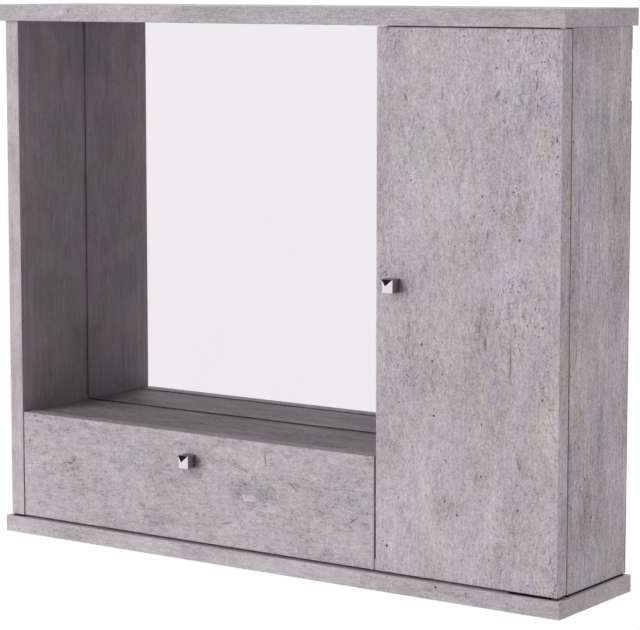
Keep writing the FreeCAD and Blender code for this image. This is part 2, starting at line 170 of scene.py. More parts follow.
# Concrete decor printed on the boards and their edge banding
concrete = {
    "mauve": rgb(0.447, 0.400, 0.430),
    "stone": rgb(0.438, 0.402, 0.423),
    "beige": rgb(0.452, 0.405, 0.399),
    "lilac": rgb(0.438, 0.400, 0.455),
    "pitColour": rgb(0.060, 0.048, 0.052),
    # painted shade of the shadow grooves at the uprights' feet
    "grooveShadeColour": rgb(0.022, 0.020, 0.021),
    "ior": 1.45,
    "level": 1.040,
    "cloud": 0.30,        # light and dark clouds, a hand's width across
    "mottle": 0.74,       # blotches from 30 mm down
    "streak": 0.45,       # long streaks along the print
    "edgeStreak": 0.40,   # streaks on the banding
    "fibre": 1.08,        # soft strokes along the print
    "fibreCalm": 0.6,     # their share on calm ground, and what rough ground adds
    "fibreRough": 0.4,
    "grain": 1.38,        # grains of sand
    "darkHair": 0.24,     # thin curved strokes, darker and paler than the ground
    "paleHair": 0.15,
    "darkHairAt": 0.45,   # levels of the noise that they follow
    "paleHairAt": 0.57,
    "tick": 0.54,         # dark scratches of the rough zones
    "tickCalm": 0.15,
    "tickRough": 0.85,
    "wornLeast": 0.45,    # least share of a stain that the print shows through
    "edgeShift": (0.31, 0.47, 0.23),
    "bendScale": 26.0,
    "frayScale": 620.0,   # ragged outline of the pits
    "frayReach": (2.6 * mm, 0, 4.0 * mm),
}

# Noises of the print; run is the share of their length along it, or the name of a board's value
toneNoise = dict(on="bent", run="run", detail=3.0, roughness=0.55, distortion=0.3)
printLayers = {
    "cloud": dict(on="spot", scale=9.0, detail=2.0, distortion=0.4),
    "mottle": dict(on="spot", shift=(3, 1, 2), run="run", scale=34.0, detail=5.0, roughness=0.62,
                   distortion=0.3),
    "streak": dict(on="spot", shift=(8, 2, 5), turn=1.5, run=0.05, scale=330.0, detail=3.0, roughness=0.6,
                   distortion=0.3),
    "fibre": dict(on="bent", shift=(1, 5, 3), turn=-4, run="stretch", scale=430.0, detail=3.0, roughness=0.62,
                  distortion=0.5),
    "hair": dict(on="bent", shift=(7, 1, 4), turn=5, run="stretch", scale=260.0, detail=2.0, distortion=0.6),
    "scratch": dict(on="bent", shift=(6, 2, 8), turn=12, run=0.35, scale=380.0, detail=2.5, roughness=0.55,
                    distortion=0.8),
    "zone": dict(on="spot", shift=(9, 4, 2), run=0.6, scale=17.0, detail=2.0),
    "broken": dict(on="spot", shift=(4, 4, 7), scale=170.0, detail=2.0),
    "grain": dict(on="spot", shift=(2, 7, 1), run=0.75, scale=620.0, detail=3.0, roughness=0.75),
    "warm": dict(toneNoise, shift=(4, 8, 6), scale=24.0),
    "sand": dict(toneNoise, shift=(5, 3, 9), scale=26.0),
    "cold": dict(toneNoise, shift=(2, 6, 4), scale=30.0),
}

# Where each feature of the print sets in, and where it is full
steps = {
    "rough": (0.44, 0.64),
    "tick": (0.60, 0.70),
    "hair": (0.08, 0.02),
    "darkPart": (0.48, 0.60),
    "palePart": (0.52, 0.40),
    "warm": (0.42, 0.58),
    "sand": (0.54, 0.66),
    "cold": (0.54, 0.66),
    "worn": (0.40, 0.60),
    "hole": (1.15, 0.5),
    "stain": (1.0, 0.2),
}

# Holes of the print: cells to the metre, radius, share of the cells with a hole on calm ground and what
# rough ground adds, and darkness
speckKind = {"scale": 240.0, "least": 0.30 * mm, "most": 0.75 * mm, "calm": 0.09, "rough": 0.6, "dark": 0.92}
pitKind = {"scale": 80.0, "least": 0.55 * mm, "most": 1.5 * mm, "calm": 0.06, "rough": 0.3, "dark": 0.95}
mostlySmall = 3.0     # power that makes large holes rare

# Gloss and relief of the print
printRelief = {
    "rough": 0.64,
    "mottleGloss": 0.16,
    "holeRough": 0.2,
    "grain": 0.4,
    "fibre": 0.5,
    "tick": 0.4,
    "hole": 1.6,
    "distance": 0.12 * mm,
    "strength": 0.5,
}

# Stains of the print: colour and strength of each kind; chalk is no stain but painted light
stainKinds = {
    # painted light: a pale patch that brightens the door's lower part
    "chalk": (rgb(0.486, 0.436, 0.466), 0.60),
    "moss": (rgb(0.425, 0.404, 0.415), 0.85),
    "lilac": (rgb(0.426, 0.398, 0.440), 0.85),
    "sandy": (rgb(0.444, 0.401, 0.404), 0.85),
    "rose": (rgb(0.452, 0.395, 0.425), 0.85),
    "brown": (rgb(0.364, 0.306, 0.312), 0.85),
    "olive": (rgb(0.432, 0.410, 0.362), 0.70),
    "cold": (rgb(0.250, 0.254, 0.272), 0.85),
    "pale": (rgb(0.570, 0.560, 0.572), 0.70),
    "scratch": (rgb(0.165, 0.148, 0.155), 0.85),
}
brokenKinds = ("brown", "cold", "pale")     # the print shows through these
# Kind, middle (x, z) and half size in millimetres, and lean in degrees
# Grit roughens the print and calm smooths it, without a colour
stains = {
    "door_panel": (
        ("calm", (195, -400), (130, 120), 0),
        # painted light over the door's lower part
        ("chalk", (185, -395), (110, 110), 0),
        ("moss", (166, -68), (44, 40), 0),
        ("lilac", (271, -12), (40, 30), 0),
        ("lilac", (205, -111), (18, 34), 0),
        ("rose", (200, -18), (30, 36), 0),
        ("sandy", (298, -56), (20, 30), 0),
        ("sandy", (281, -418), (34, 26), 0),
        ("grit", (262, -24), (13, 15), 20),
        ("grit", (270, -105), (26, 36), 15),
        ("grit", (303, -420), (16, 40), 0),
        ("brown", (275, -46), (9, 12), 10),
        ("brown", (275, -110), (9, 18), 0),
        ("brown", (268, -138), (6, 30), 0),
        ("brown", (238, -214), (9, 42), 3),
        ("brown", (267, -229), (3.4, 54), 1),
        ("brown", (161, -229), (3.0, 32), 0),
        ("brown", (240, -346), (23, 33), -18),
        ("brown", (277, -336), (4.5, 21), -14),
        ("brown", (198, -387), (18, 21), 15),
        ("brown", (256, -421), (10, 14), 0),
        ("scratch", (252, -14), (2.2, 8.0), 35),
        ("scratch", (157, -19), (1.8, 7.0), -18),
        ("scratch", (195, -15), (1.3, 9.0), 3),
        ("scratch", (291, -6), (1.6, 8.0), 8),
        ("scratch", (263, 10), (1.4, 6.0), -6),
        ("scratch", (243, -137), (1.8, 6.0), 4),
        ("scratch", (241, -233), (2.4, 9.0), 0),
        ("scratch", (267, -250), (1.1, 24), 1),
        ("scratch", (276, -338), (1.2, 11), -16),
    ),
    "flap_panel": (
        ("sandy", (-236, -394), (52, 30), 0),
        ("sandy", (-21, -372), (46, 22), 0),
        ("sandy", (43, -418), (26, 18), 0),
        ("lilac", (-169, -382), (36, 28), 0),
        ("lilac", (92, -392), (40, 26), 0),
        ("olive", (-140, -420), (15, 6), 0),
        ("olive", (80, -420), (24, 6), 0),
        ("grit", (-236, -395), (22, 13), 0),
        ("grit", (-18, -397), (34, 15), 0),
        ("brown", (-236, -393), (17, 11), 0),
        ("cold", (-24, -391), (19, 7), -4),
        ("cold", (-33, -401), (10, 9), 0),
        ("cold", (-1, -396), (19, 7), 8),
        ("cold", (-18, -407), (14, 4), 0),
        ("cold", (-132, -440), (9, 6), 0),
        ("pale", (-17, -402), (11, 5), 0),
        ("pale", (8, -410), (20, 4.5), -6),
        ("scratch", (33, -385), (1.4, 9), -48),
        ("scratch", (101, -409), (1.5, 9), 58),
        ("scratch", (-44, -429), (1.4, 10), 78),
        ("scratch", (1, -363), (1.6, 9), -8),
    ),
}


# One noise of the print, at the plain or the bent place
def printNoise(places, board, on, shift=(0, 0, 0), turn=0, run=1, **look):
    length = board.get(run, run)
    return places[on].placed(shift, (0, turn, 0), (1, 1, length)).noise(**look)


# Small holes in flat cells; the density says how many of the cells hold one
def holeMask(flat, kind, share, rough):
    scale, least, most = kind["scale"], kind["least"], kind["most"]
    settings = {"voronoi_dimensions": "2D"}
    sockets = {"Vector": flat, "Scale": scale}
    away = flat.node("ShaderNodeTexVoronoi", settings, sockets, out="Distance")
    drawn = flat.node("ShaderNodeTexVoronoi", settings, sockets, out="Color")
    choice = flat.node("ShaderNodeSeparateColor", {}, {"Color": drawn}, out="Red")
    size = flat.node("ShaderNodeSeparateColor", {}, {"Color": drawn}, out="Green")
    radius = (size ** mostlySmall) * ((most - least) * scale) + least * scale
    density = kind["calm"] * share + rough * kind["rough"]
    return (away / radius).ease(*steps["hole"]) * (choice > 1 - density)


# 1 in the middle of a stain, 0 outside it
def stainMask(place, middle, half, lean):
    sockets = {"Vector": place, "Location": (middle[0] * mm, 0, middle[1] * mm)}
    sockets.update({"Rotation": (0, math.radians(lean), 0), "Scale": (half[0] * mm, 1, half[1] * mm)})
    near = place.node("ShaderNodeMapping", {"vector_type": "TEXTURE"}, sockets)
    away = place.node("ShaderNodeVectorMath", {"operation": "LENGTH"}, {0: near}, out="Value")
    return away.ease(*steps["stain"])


# Foot of an outer upright: what shows in its shadow groove is painted dark, as painted shade
footShape = {"skin": 0.05 * mm, "inner": 1.0 * mm, "depth": 2.2 * mm}


# Lower and upper corner of the space under an upright that is painted dark as shade
def footOf(name):
    skin, inner = footShape["skin"], footShape["inner"]
    low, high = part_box(name)
    leftIn, rightIn = (skin, inner) if low.x < 0 else (inner, skin)
    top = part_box("door_panel")[0].z + skin
    return (low.x + leftIn, low.y + skin, low.z - skin), (high.x - rightIn, high.y + skin, top)


def footShadeMask(place, foot):
    inside = 1.0
    for axis, start, end in zip("XYZ", *foot):
        at = place.axis(axis)
        inside = inside * (at > start) * (1 - (at > end))
    return inside


def concreteDecor(name, board):
    c = concrete
    finish, wire, shader = newFinish("decor_" + name, {"IOR": c["ior"]})
    place = wire.onPiece()
    normal = wire.onPiece("Normal")
    edge = 1 - (normal.axis(board["face"]).size() > faceOn)     # the banding carries another stretch of print
    end = normal.axis(board["along"]).size() > faceOn           # where the print's run ends
    spot = wire.node("ShaderNodeVectorMath", {"operation": "MULTIPLY_ADD"},
                     {0: edge, 1: c["edgeShift"], 2: place})
    spot = spot.placed(board["seed"], board["turn"])
    bend = board["bend"] * mm
    places = {"spot": spot, "bent": spot.pushed(c["bendScale"], (bend, 0, bend))}
    noises = {layer: printNoise(places, board, **look) for layer, look in printLayers.items()}
    mottle, fibre, grain = noises["mottle"], noises["fibre"], noises["grain"]
    hair, broken, scratch = noises["hair"], noises["broken"], noises["scratch"]
    rough = noises["zone"].ease(*steps["rough"]) * board["pits"]
    marks = stains.get(name, ())
    for kind, *where in marks:
        if kind == "grit":
            rough = rough.larger(stainMask(place, *where))
        if kind == "calm":
            rough = rough * (1 - stainMask(place, *where))
    ticks = scratch.ease(*steps["tick"]) * (c["tickCalm"] * board["pits"] + rough * c["tickRough"])
    darkHair = (hair - c["darkHairAt"]).size().ease(*steps["hair"]) * broken.ease(*steps["darkPart"])
    paleHair = (hair - c["paleHairAt"]).size().ease(*steps["hair"]) * broken.ease(*steps["palePart"])
    streaking = edge * c["edgeStreak"] + (1 - edge) * (board["streak"] * c["streak"])
    value = c["level"] * board["tone"] + noises["cloud"].swing(c["cloud"])
    value = value + mottle.swing(c["mottle"] * board["blotch"])
    value = value + noises["streak"].swing(streaking)
    value = value + fibre.swing(c["fibreCalm"] + rough * c["fibreRough"]) * (c["fibre"] * board["fine"])
    value = value + grain.swing(c["grain"] * board["fine"]) - ticks * c["tick"]
    value = value - darkHair * (c["darkHair"] * board["hair"]) + paleHair * (c["paleHair"] * board["hair"])
    colour = noises["warm"].ease(*steps["warm"]).tint(c["stone"], c["mauve"])
    colour = (noises["sand"].ease(*steps["sand"]) * board["sand"]).tint(colour, c["beige"])
    colour = (noises["cold"].ease(*steps["cold"]) * board["cold"]).tint(colour, c["lilac"])
    worn = c["wornLeast"] + scratch.ease(*steps["worn"]) * (1 - c["wornLeast"])
    for kind, *where in marks:
        if kind in stainKinds:
            stain, strength = stainKinds[kind]
            mask = stainMask(place, *where)
            if kind in brokenKinds:
                mask = mask * worn
            colour = (mask * strength).tint(colour, stain)
    colour = wire.node("ShaderNodeVectorMath", {"operation": "SCALE"}, {0: colour, "Scale": value})
    frayed = spot.pushed(c["frayScale"], c["frayReach"])
    x, y, z = [frayed.axis(axis) for axis in "XYZ"]
    flat = wire.node("ShaderNodeCombineXYZ", {}, {"X": x + y * (1 - end), "Y": z + y * end})
    specks = holeMask(flat, speckKind, board["pits"], rough) * speckKind["dark"]
    pits = holeMask(flat, pitKind, board["pits"], rough) * pitKind["dark"]
    holes = specks.larger(pits)
    colour = holes.tint(colour, c["pitColour"])
    # painted shade: the feet's grooves, and what shows in them, turn near black
    for foot in board.get("feet", ()):
        colour = footShadeMask(place, foot).tint(colour, c["grooveShadeColour"])
    colour.feed(shader, "Base Color")
    r = printRelief
    (r["rough"] - mottle * r["mottleGloss"] + holes * r["holeRough"]).feed(shader, "Roughness")
    height = grain * r["grain"] + fibre * r["fibre"] - ticks * r["tick"] - holes * r["hole"]
    bumpInto(shader, height, r["distance"], r["strength"])
    return finish


# How the print lies on each board: upright on doors and uprights, lengthwise on the rest
# bend in millimetres, turn in degrees; stretch and run are lengths of the noises, the others are
# shares of the values above
lengthwise = {"turn": (0, 90, 0), "along": "X", "streak": 2.0, "stretch": 0.2, "bend": 8, "hair": 0.45,
              "pits": 0.35, "tone": 1.0, "fine": 0.95, "sand": 0.6, "cold": 0.75, "blotch": 1.0, "run": 0.35}
upright = {"turn": (0, 0, 0), "along": "Z", "streak": 2.4, "stretch": 0.2, "bend": 5, "hair": 0.5,
           "pits": 0.3, "tone": 1.0, "fine": 0.8, "sand": 0.6, "cold": 0.75, "blotch": 1.2, "run": 0.35}
clouded = {**upright, "streak": 0.5, "stretch": 0.28, "bend": 7, "hair": 0.55, "pits": 1.0, "fine": 1.05,
           "sand": 0.8, "blotch": 1.0}
swirled = {**lengthwise, "streak": 0.4, "bend": 17, "hair": 1.0, "pits": 0.2, "tone": 0.985, "fine": 0.85,
           "sand": 0.35, "cold": 0.6, "blotch": 0.8, "run": 0.5}
leftFoot = footOf("left_side")
rightFoot = footOf("right_side")
footLow, footHigh = leftFoot
# painted shade runs on to the flap's edge, over the gap beside the left foot
cornerLow = (footHigh[0] - footShape["skin"], footLow[1], footLow[2])
cornerHigh = (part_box("flap_panel")[0].x, footLow[1] + footShape["depth"], footHigh[2])
leftCorner = (cornerLow, cornerHigh)      # on to the flap's edge
boards = {
    "top_panel": {**lengthwise, "face": "Z", "seed": (0.2, 0.9, 0.4), "tone": 0.97},
    "bottom_panel": {**lengthwise, "face": "Z", "seed": (1.7, 0.3, 0.8),
                     "feet": (leftFoot, leftCorner, rightFoot)},
    "left_side": {**upright, "face": "X", "seed": (2.6, 1.1, 0.2), "feet": (leftFoot, leftCorner),
                  "fine": 0.4, "pits": 0.05, "sand": 1.0, "cold": 0.0, "streak": 1.5, "blotch": 1.25,
                  "run": 0.6},
    "partition": {**upright, "face": "X", "seed": (3.1, 1.9, 0.7)},
    "right_side": {**upright, "face": "X", "seed": (4.4, 0.6, 1.3), "feet": (rightFoot,),
                   "fine": 1.25, "pits": 0.7, "streak": 1.8, "stretch": 0.24, "blotch": 1.55},
    # the shelf's tone of 0.72 is painted shade: the shelf in the niche is darker than the other boards
    "niche_shelf": {**lengthwise, "face": "Z", "seed": (5.2, 1.5, 0.1), "tone": 0.72, "sand": 1.0,
                    "cold": 0.0},
    "lower_shelf": {**lengthwise, "face": "Z", "seed": (7.9, 1.2, 0.5)},
    "upper_shelf": {**lengthwise, "face": "Z", "seed": (8.8, 0.4, 0.9)},
    "door_panel": {**clouded, "face": "Y", "seed": (9.5, 1.8, 0.3)},
    "flap_panel": {**swirled, "face": "Y", "seed": (10.1, 0.7, 1.9)},
}
for name, board in boards.items():
    nodes[name].material_slots[0].material = concreteDecor(name, board)
print("boards printed:", len(boards))

# Bright metal of the knobs, with faint wiping marks
chrome = {
    "low": rgb(0.72, 0.69, 0.72),
    "high": rgb(0.78, 0.75, 0.78),
    "rough": 0.05,
    "hazeRough": 0.05,
    "scuffRough": 0.05,
    "scuffTurn": (20, 35, 10),
    "scuffRun": 0.08,
}


def chromePlate():
    finish, wire, shader = newFinish("chrome_plate", {"Metallic": 1.0})
    spot = wire.onPiece()
    haze = spot.noise(scale=180.0, detail=4.0, roughness=0.6)
    wiped = spot.placed(turn=chrome["scuffTurn"], scale=(1, chrome["scuffRun"], 1))
    scuff = wiped.noise(scale=2600.0, detail=2.0)
    scuffed = scuff.ease(start=0.55, end=0.75)
    haze.tint(chrome["low"], chrome["high"]).feed(shader, "Base Color")
    rough = chrome["rough"] + haze * chrome["hazeRough"] + scuffed * chrome["scuffRough"]
    rough.feed(shader, "Roughness")
    bumpInto(shader, scuff, distance=0.004 * mm, strength=0.3)
    return finish


# Brushed sides of the knobs, darker than their polished points: the darker metal is painted shade
brushedShade = {
    "low": rgb(0.255, 0.232, 0.252),
    "high": rgb(0.335, 0.308, 0.330),
    "rough": 0.34,
    "patchRough": 0.10,
    "lineRun": 0.06,
}


def brushedShadedSide():
    finish, wire, shader = newFinish("brushed_side_painted_shade", {"Metallic": 1.0})
    spot = wire.onPiece()
    line = spot.placed(scale=(1, brushedShade["lineRun"], 1)).noise(scale=3600.0, detail=2.0)
    patch = spot.noise(scale=300.0, detail=3.0)
    line.tint(brushedShade["low"], brushedShade["high"]).feed(shader, "Base Color")
    (brushedShade["rough"] + patch * brushedShade["patchRough"]).feed(shader, "Roughness")
    bumpInto(shader, line, distance=0.01 * mm, strength=0.4)
    return finish


# Board behind the mirror, coloured near black as painted shade, so that the gap round the glass reads as a
# dark line
backShade = {
    "low": rgb(0.030, 0.026, 0.026),
    "high": rgb(0.062, 0.054, 0.050),
    "cloudColour": rgb(0.045, 0.038, 0.036),
    "cloud": 0.5,
    "rough": 0.66,
    "cloudRough": 0.16,
}


def shadeBoard():
    finish, wire, shader = newFinish("painted_shade_board", {"IOR": 1.45})
    spot = wire.onPiece()
    flake = spot.cells(scale=420.0)
    cloud = spot.noise(scale=30.0, detail=4.0)
    colour = flake.tint(backShade["low"], backShade["high"])
    clouding = cloud.ease(start=0.4, end=0.7) * backShade["cloud"]
    clouding.tint(colour, backShade["cloudColour"]).feed(shader, "Base Color")
    (backShade["rough"] + cloud * backShade["cloudRough"]).feed(shader, "Roughness")
    bumpInto(shader, flake, distance=0.08 * mm, strength=0.5)
    return finish


# Zinc-plated pressed steel: pale spangle, dull and brighter patches, fine drawing lines
zinc = {
    "low": rgb(0.50, 0.50, 0.51),
    "high": rgb(0.70, 0.70, 0.69),
    "lineColour": rgb(0.36, 0.36, 0.37),
    "line": 0.35,
    "lineRun": 0.06,
    "rough": 0.24,
    "patchRough": 0.22,
    "lineRough": 0.06,
    "relief": 0.5,
}


def zincPlate():
    finish, wire, shader = newFinish("zinc_plate", {"Metallic": 1.0})
    spot = wire.onPiece()
    patch = spot.noise(scale=240.0, detail=4.0, roughness=0.6, distortion=0.5)
    line = spot.placed(scale=(zinc["lineRun"], 1, 1)).noise(scale=3200.0, detail=2.0)
    colour = patch.tint(zinc["low"], zinc["high"])
    lining = line.ease(start=0.6, end=0.8) * zinc["line"]
    lining.tint(colour, zinc["lineColour"]).feed(shader, "Base Color")
    (zinc["rough"] + patch * zinc["patchRough"] + line * zinc["lineRough"]).feed(shader, "Roughness")
    bumpInto(shader, patch * zinc["relief"] + line * zinc["relief"], distance=0.02 * mm, strength=0.4)
    return finish


# Brown hardboard of the back, with pressed fibres; the side that faces the room is laminated
sheet = {
    "low": rgb(0.155, 0.088, 0.047),
    "high": rgb(0.225, 0.135, 0.075),
    "strandColour": rgb(0.30, 0.19, 0.11),
    "fleckColour": rgb(0.075, 0.042, 0.024),
    "laminateLow": rgb(0.44, 0.415, 0.425),
    "laminateHigh": rgb(0.53, 0.505, 0.515),
    "strand": 0.4,
    "strandRun": 0.16,
    "fleck": 0.6,
    "laminateCloud": 0.7,
    "laminateFleck": 0.3,
    "rough": 0.58,
    "cloudRough": 0.14,
    "laminateGloss": 0.14,
    "strandRelief": 0.5,
    "laminateFlat": 0.8,
}


def hardboard():
    finish, wire, shader = newFinish("brown_hardboard", {"IOR": 1.45})
    spot = wire.onPiece()
    inner = 1 - (wire.onPiece("Normal").axis("Y") > -faceOn)
    cloud = spot.noise(scale=11.0, detail=4.0, roughness=0.55, distortion=0.6)
    stretch = (1, 1, sheet["strandRun"])
    curl = dict(detail=3.0, roughness=0.6, distortion=2.2)
    fibre = spot.placed(turn=(0, 24, 0), scale=stretch).noise(scale=900.0, **curl)
    cross = spot.placed(turn=(0, -52, 0), scale=stretch).noise(scale=800.0, **curl)
    fleck = spot.noise(scale=420.0, detail=2.0)
    strands = fibre.ease(start=0.52, end=0.72) + cross.ease(start=0.55, end=0.75)
    colour = cloud.tint(sheet["low"], sheet["high"])
    colour = (strands * sheet["strand"]).tint(colour, sheet["strandColour"])
    colour = (fleck.ease(start=0.62, end=0.74) * sheet["fleck"]).tint(colour, sheet["fleckColour"])
    shade = cloud * sheet["laminateCloud"] + fleck * sheet["laminateFleck"]
    laminate = shade.tint(sheet["laminateLow"], sheet["laminateHigh"])
    inner.tint(colour, laminate).feed(shader, "Base Color")
    rough = sheet["rough"] + cloud * sheet["cloudRough"] - inner * sheet["laminateGloss"]
    rough.feed(shader, "Roughness")
    height = (strands * sheet["strandRelief"] + fleck) * (1 - inner * sheet["laminateFlat"])
    bumpInto(shader, height, distance=0.05 * mm, strength=0.5)
    return finish


# Beech of the dowels
rod = {
    "low": rgb(0.50, 0.33, 0.19),
    "high": rgb(0.68, 0.49, 0.31),
    "fleckColour": rgb(0.36, 0.21, 0.11),
    "bandRun": 0.1,
    "fleckRun": 0.25,
    "fleck": 0.5,
    "fleckRelief": 0.5,
    "rough": 0.6,
    "bandRough": 0.15,
}


def beech():
    finish, wire, shader = newFinish("beech_rod", {"IOR": 1.45})
    spot = wire.onPiece()
    band = spot.placed(scale=(1, 1, rod["bandRun"])).noise(scale=420.0, detail=3.0, roughness=0.6)
    fleck = spot.placed(scale=(1, 1, rod["fleckRun"])).noise(scale=1600.0, detail=2.0)
    colour = band.tint(rod["low"], rod["high"])
    flecking = fleck.ease(start=0.60, end=0.72) * rod["fleck"]
    flecking.tint(colour, rod["fleckColour"]).feed(shader, "Base Color")
    (rod["rough"] + band * rod["bandRough"]).feed(shader, "Roughness")
    bumpInto(shader, band + fleck * rod["fleckRelief"], distance=0.08 * mm, strength=0.4)
    return finish


# Foam strips that hold the glass
foam = {
    "low": rgb(0.42, 0.42, 0.41),
    "high": rgb(0.70, 0.70, 0.68),
    "rough": 0.8,
    "bubbleRough": 0.15,
}


def foamTape():
    finish, wire, shader = newFinish("foam_tape", {"IOR": 1.4})
    bubble = wire.onPiece().cells(scale=2200.0)
    bubble.ease(start=0.1, end=0.7).tint(foam["low"], foam["high"]).feed(shader, "Base Color")
    (foam["rough"] + bubble * foam["bubbleRough"]).feed(shader, "Roughness")
    bumpInto(shader, bubble, distance=0.1 * mm, strength=0.6)
    return finish


# Silvered front of the pane, with faint wiping marks
pureSilver = {
    "clean": rgb(0.862, 0.842, 0.862),
    "wiped": rgb(0.850, 0.832, 0.852),
    "wipeTurn": (0, 40, 0),
    "wipeRun": 0.35,
    "wipeRough": 0.012,
}


def silver():
    finish, wire, shader = newFinish("mirror_silver", {"Metallic": 1.0})
    wiped = wire.onPiece().placed(turn=pureSilver["wipeTurn"], scale=(1, 1, pureSilver["wipeRun"]))
    wipe = wiped.noise(scale=26.0, detail=3.0, distortion=0.6)
    wipe.tint(pureSilver["clean"], pureSilver["wiped"]).feed(shader, "Base Color")
    (wipe.ease(start=0.5, end=0.8) * pureSilver["wipeRough"]).feed(shader, "Roughness")
    return finish


# Plain finishes: two tones in clouds and a fine grain; a noise has a scale and a detail
moulding = {"fixed": {"IOR": 1.5}, "cloud": (60.0, 3.0), "fine": (3800.0, 1.0), "cloudRough": 0.0,
            "fineRough": 0.15, "distance": 0.02 * mm, "strength": 0.35}
coat = {"cloudRough": 0.2, "fineRough": 0.0, "distance": 0.03 * mm, "strength": 0.4}
plainLooks = {
    "white_moulding": {**moulding, "low": rgb(0.70, 0.70, 0.68), "high": rgb(0.78, 0.78, 0.76),
                       "rough": 0.38},
    "grey_moulding": {**moulding, "low": rgb(0.36, 0.34, 0.35), "high": rgb(0.43, 0.41, 0.42),
                      "rough": 0.45},
    "dark_moulding": {**moulding, "low": rgb(0.045, 0.042, 0.043), "high": rgb(0.07, 0.066, 0.066),
                      "rough": 0.5},
    "clear_pad": {**coat, "fixed": {"Transmission Weight": 0.55, "IOR": 1.42}, "low": rgb(0.80, 0.80, 0.77),
                  "high": rgb(0.90, 0.90, 0.88), "cloud": (420.0, 3.0), "fine": (420.0, 3.0), "rough": 0.22},
    "mirror_glass_edge": {**coat, "fixed": {"IOR": 1.52}, "low": rgb(0.030, 0.050, 0.043),
                          "high": rgb(0.060, 0.090, 0.078), "cloud": (900.0, 3.0), "fine": (900.0, 3.0),
                          "rough": 0.12},
    "mirror_back_paint": {**coat, "fixed": {"IOR": 1.5}, "low": rgb(0.20, 0.21, 0.22),
                          "high": rgb(0.27, 0.28, 0.29), "cloud": (40.0, 3.0), "fine": (1200.0, 2.0),
                          "rough": 0.45},
}


def plainFinish(name, look):
    finish, wire, shader = newFinish(name, look["fixed"])
    spot = wire.onPiece()
    cloud = spot.noise(*look["cloud"])
    fine = spot.noise(*look["fine"])
    cloud.tint(look["low"], look["high"]).feed(shader, "Base Color")
    (look["rough"] + cloud * look["cloudRough"] + fine * look["fineRough"]).feed(shader, "Roughness")
    bumpInto(shader, fine, look["distance"], look["strength"])
    return finish


plain = {name: plainFinish(name, look) for name, look in plainLooks.items()}
chromeFinish = chromePlate()
knobSideShade = brushedShadedSide()
zincFinish = zincPlate()
silverFinish = silver()
slotFinishes = {
    "back_sheet": hardboard(),
    "adhesive_tape": foamTape(),
    "beech_dowel": beech(),
    "zinc_plated_steel": zincFinish,
    "grey_plastic": plain["grey_moulding"],
    "white_plastic": plain["white_moulding"],
    "chrome": chromeFinish,
    "clear_rubber": plain["clear_pad"],
    "mirror_glass": silverFinish,
}
for node in nodes.values():
    for place in node.material_slots:
        place.material = slotFinishes.get(place.material.name, place.material)
# the board behind the mirror takes the painted shade
nodes["mirror_backing_board"].material_slots[0].material = shadeBoard()
# the hinge washer in the gap below the door is dark: painted shade of that gap
nodes["door_hinge_washer"].material_slots[0].material = plain["dark_moulding"]
print("fittings finished:", len(slotFinishes))

# Modelling helpers
slack = 0.1 * mm      # room for rounding where edges are picked by their place
weld = 0.001 * mm     # points of a mesh that are one
ringDepth = 0.2 * mm  # points this near a fastener's end belong to it


def addCube(name, low, high):
    bpy.ops.object.select_all(action="DESELECT")
    bpy.ops.mesh.primitive_cube_add(size=1, location=(low + high) / 2, scale=high - low)
    return settle(name)


def addDisc(name, radius, low, high, sides):
    bpy.ops.object.select_all(action="DESELECT")
    place = (0, 0, (low + high) / 2)
    bpy.ops.mesh.primitive_cylinder_add(vertices=sides, radius=radius, depth=high - low, location=place)
    return settle(name)


def settle(name):
    bpy.ops.object.transform_apply(location=True, rotation=True, scale=True)
    piece = bpy.context.active_object
    piece.name = name
    piece.data.name = name
    return piece


def choose(*pieces):
    bpy.ops.object.select_all(action="DESELECT")
    bpy.context.view_layer.objects.active = pieces[0]
    for piece in pieces:
        piece.select_set(True)


def edit(piece):
    choose(piece)
    bpy.ops.object.mode_set(mode="EDIT")


def done(smooth):
    bpy.ops.object.mode_set(mode="OBJECT")
    bpy.ops.object.shade_smooth_by_angle(angle=math.radians(smooth))


def pick(piece, kind, test):
    bpy.ops.mesh.select_mode(type=kind)
    bpy.ops.mesh.select_all(action="DESELECT")
    shell = bmesh.from_edit_mesh(piece.data)
    for item in {"EDGE": shell.edges, "FACE": shell.faces}[kind]:
        item.select_set(test(item))
    shell.select_flush_mode()
    bmesh.update_edit_mesh(piece.data)


# Tests for pick: edges above a level, and faces that look one way
def above(level):
    return lambda edge: all(vert.co.z > level for vert in edge.verts)


def looking(way, least=0.9):
    return lambda face: face.normal.dot(way) > least


def bevelEdges(piece, offset, steps, test=lambda edge: True):
    pick(piece, "EDGE", test)
    bpy.ops.mesh.bevel(offset=offset, segments=steps, affect="EDGES")


def insetFaces(piece, thickness, test):
    pick(piece, "FACE", test)
    bpy.ops.mesh.inset(thickness=thickness)


def extrude(x, y, z):
    bpy.ops.mesh.extrude_region_move(TRANSFORM_OT_translate={"value": (x, y, z)})


# A block with all its edges broken
def brokenBlock(name, low, high, arris, steps, smooth):
    piece = addCube(name, low, high)
    edit(piece)
    bevelEdges(piece, arris, steps)
    done(smooth)
    return piece


def carve(piece, cutter):
    choose(piece)
    cut = piece.modifiers.new("cut", "BOOLEAN")
    cut.object = cutter
    cut.operation = "DIFFERENCE"
    cut.solver = "EXACT"
    bpy.ops.object.modifier_apply(modifier=cut.name)
    bpy.data.objects.remove(cutter)


def joined(name, pieces):
    choose(*pieces)
    if len(pieces) > 1:
        bpy.ops.object.join()
    pieces[0].name = name
    pieces[0].data.name = name
    return pieces[0]


def copyTo(piece, place):
    twin = piece.copy()
    twin.data = piece.data.copy()
    bpy.context.collection.objects.link(twin)
    twin.data.transform(place)
    return twin


def install(piece, finish, slot, body, *stoodFor):
    piece.data.materials.clear()
    piece.data.materials.append(finish)
    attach(piece, body)
    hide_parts(*stoodFor)


